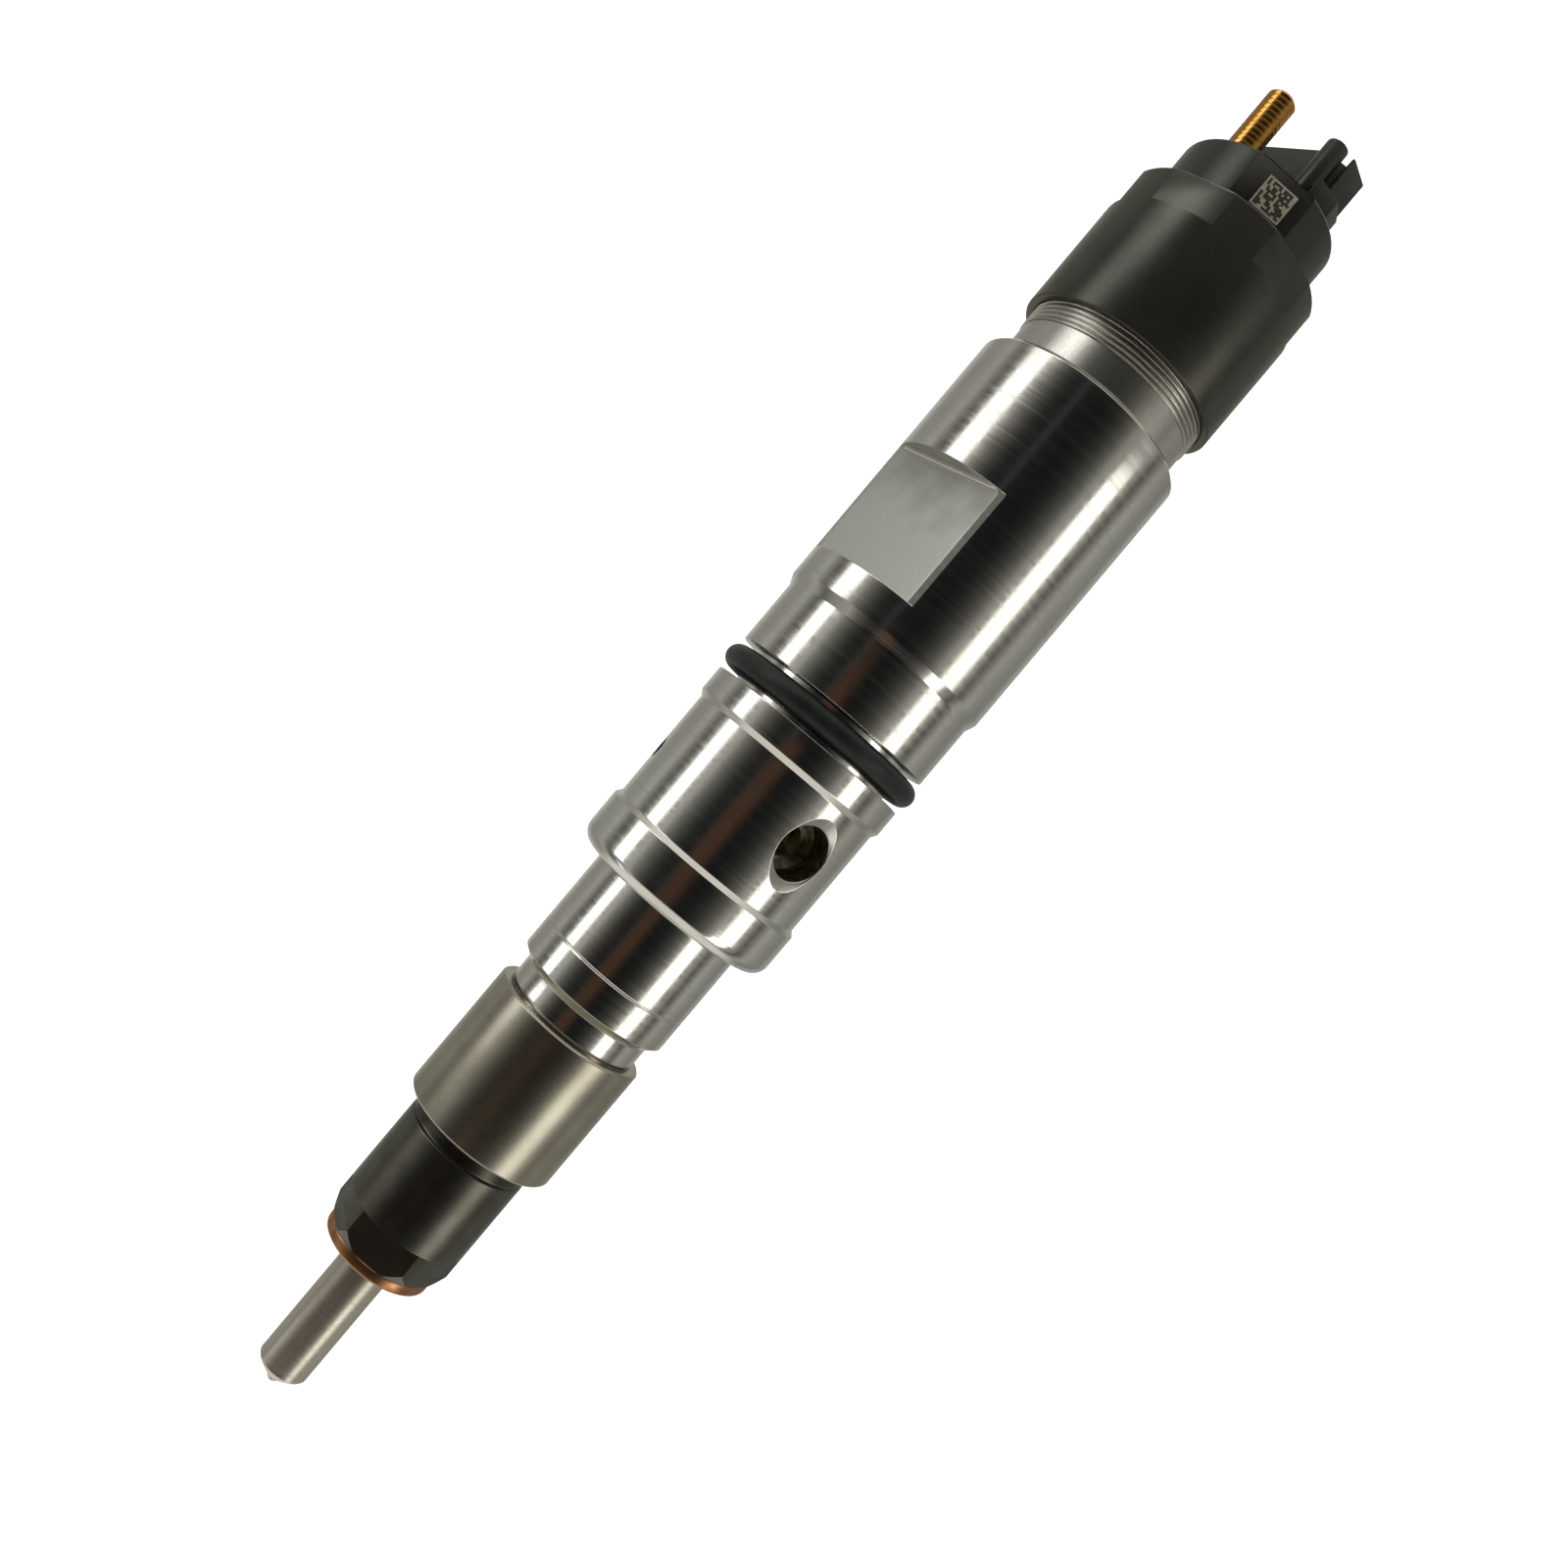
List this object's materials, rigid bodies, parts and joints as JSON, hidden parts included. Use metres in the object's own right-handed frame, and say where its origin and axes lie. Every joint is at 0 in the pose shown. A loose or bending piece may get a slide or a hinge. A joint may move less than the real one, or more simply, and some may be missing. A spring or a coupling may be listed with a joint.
{
  "type": "fuel injector",
  "caption": "Common-rail diesel fuel injector: stepped steel body with side inlet, slim nozzle, copper seat washer, solenoid valve head and screw terminals.",
  "frame": {"origin": "on the injector axis, in the lower face of the copper sealing washer", "axes": "+Z along the axis from the nozzle to the terminals; -Y is the side of the label, with the fuel inlet 38 degrees round from it towards +X"},
  "size_m": [0.03, 0.03, 0.2017],
  "materials": {
    "polished_steel": "polished, ground",
    "nozzle_steel": "dark satin, heat treated",
    "phosphated_nut": "satin black below, brown-grey above",
    "inner_steel": "ground",
    "spring_steel": "bright wire",
    "dark_inner_steel": "phosphated",
    "copper": "bare copper",
    "winding_copper": "enamelled wire",
    "ring_rubber": "matt",
    "magnet_iron": "sintered",
    "bobbin_plastic": "moulded",
    "insulator_plastic": "moulded",
    "black_phosphate": "black phosphate, satin",
    "cover_plastic": "glass-filled, satin",
    "terminal_brass": "bare",
    "label_foil": "printed foil"
  },
  "bodies": {
    "housing": {"injector_body": "polished_steel", "nozzle_body": "nozzle_steel", "nozzle_retaining_nut": "phosphated_nut", "nozzle_dowel_pins": "inner_steel", "spring_shim": "inner_steel", "valve_piece": "inner_steel", "lift_shim": "inner_steel", "magnet_sleeve": "inner_steel", "valve_spring_shim": "inner_steel", "nozzle_spring": "spring_steel", "overtravel_spring": "spring_steel", "valve_spring": "spring_steel", "valve_clamp_nut": "dark_inner_steel", "armature_guide": "dark_inner_steel", "sealing_washer": "copper", "valve_seal_ring": "copper", "coil_winding": "winding_copper", "body_o_ring": "ring_rubber", "solenoid_o_ring": "ring_rubber", "magnet_core": "magnet_iron", "coil_bobbin": "bobbin_plastic", "pin_insulators": "insulator_plastic", "solenoid_nut": "black_phosphate", "terminal_cover": "cover_plastic", "terminal_studs": "terminal_brass", "contact_pins": "terminal_brass", "code_label": "label_foil"},
    "needle": {"nozzle_needle": "inner_steel", "spring_seat": "inner_steel"},
    "plunger": {"control_plunger": "inner_steel"},
    "armature": {"armature_bolt": "inner_steel", "ball_retainer": "inner_steel", "armature_clip": "inner_steel"},
    "plate": {"armature_plate": "dark_inner_steel"},
    "ball": {"valve_ball": "inner_steel"}
  },
  "joints": [
    {"name": "needle_lift", "type": "slide", "parent": "housing", "child": "needle", "axis": [0, 0, 1], "range_m": [0, 0.0003], "stiffness_N_per_m": 40000, "springref_m": -0.002, "deforming": ["nozzle_spring"]},
    {"name": "plunger_lift", "type": "slide", "parent": "housing", "child": "plunger", "axis": [0, 0, 1], "range_m": [0, 0.0003]},
    {"name": "armature_lift", "type": "slide", "parent": "housing", "child": "armature", "axis": [0, 0, 1], "range_m": [0, 0.00006], "stiffness_N_per_m": 30000, "springref_m": -0.002, "deforming": ["valve_spring"]},
    {"name": "plate_lift", "type": "slide", "parent": "housing", "child": "plate", "axis": [0, 0, 1], "range_m": [0, 0.00006], "deforming": ["overtravel_spring"]},
    {"name": "ball_lift", "type": "slide", "parent": "housing", "child": "ball", "axis": [0, 0, 1], "range_m": [0, 0.00006]}
  ],
  "couplings": [
    {"joint": "plunger_lift", "follows": "needle_lift", "ratio": 1},
    {"joint": "plate_lift", "follows": "armature_lift", "ratio": 1},
    {"joint": "ball_lift", "follows": "armature_lift", "ratio": 1}
  ]
}
